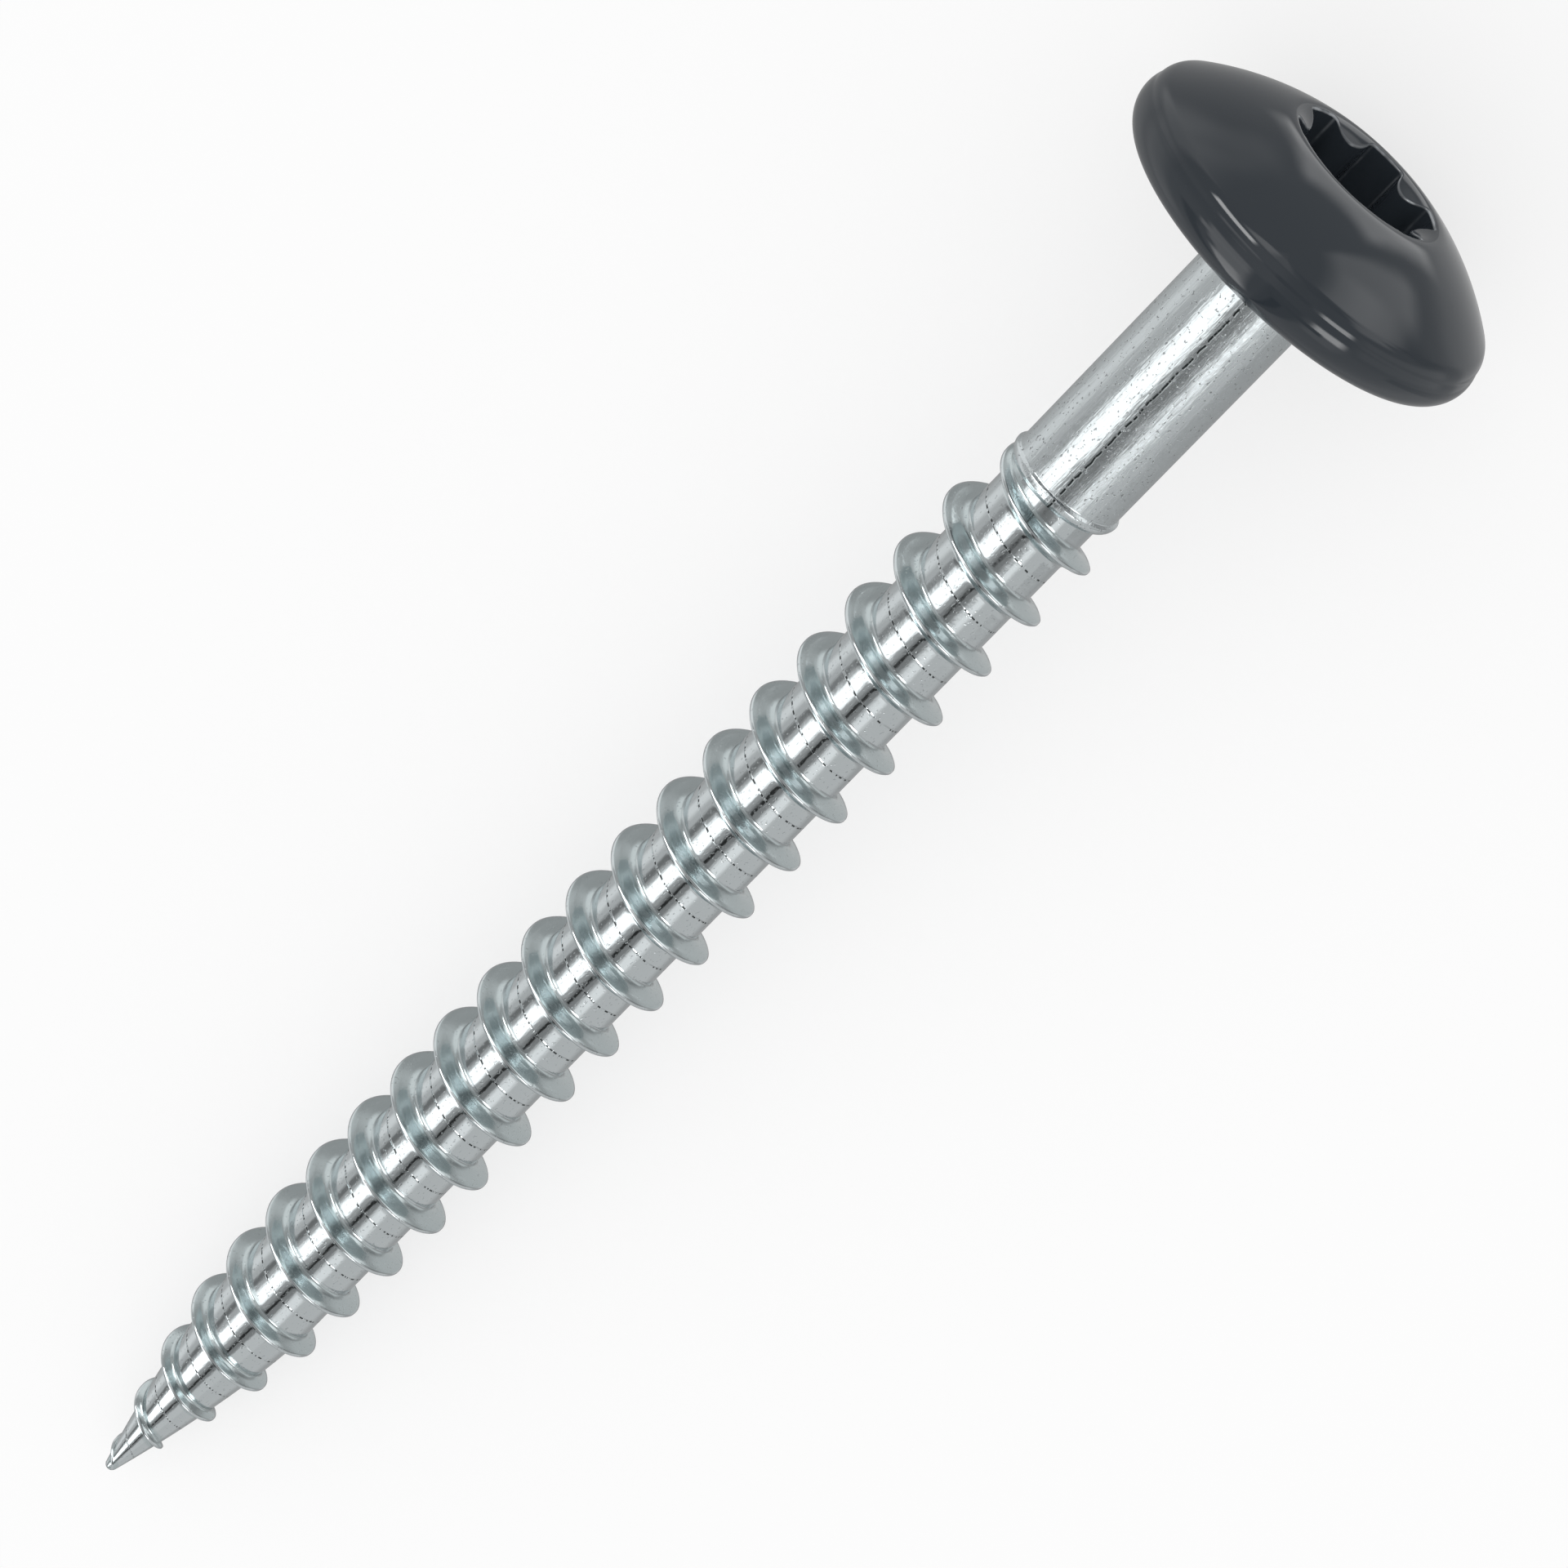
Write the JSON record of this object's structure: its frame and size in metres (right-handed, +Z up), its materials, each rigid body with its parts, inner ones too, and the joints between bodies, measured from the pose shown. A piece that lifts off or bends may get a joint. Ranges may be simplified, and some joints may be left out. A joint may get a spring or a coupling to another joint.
{
  "type": "facade screw",
  "caption": "Facade screw lying on its side: painted pan head with a rolled rim and a lobed drive recess, plain zinc plated shank, coarse wood thread and gimlet point.",
  "frame": {"origin": "on the surface that the screw lies on, under the middle of its box", "axes": "+Z up from the surface that the screw lies on; +X from the point towards the head, with the screw's own axis rising 4.7 degrees above +X; +Y across the screw"},
  "size_m": [0.0796, 0.0162, 0.0162],
  "materials": {
    "zinc_plated_steel": "satin zinc plating on the shank and thread, gloss anthracite paint on the head"
  },
  "bodies": {
    "root": {"facade_screw": "zinc_plated_steel"}
  },
  "joints": []
}
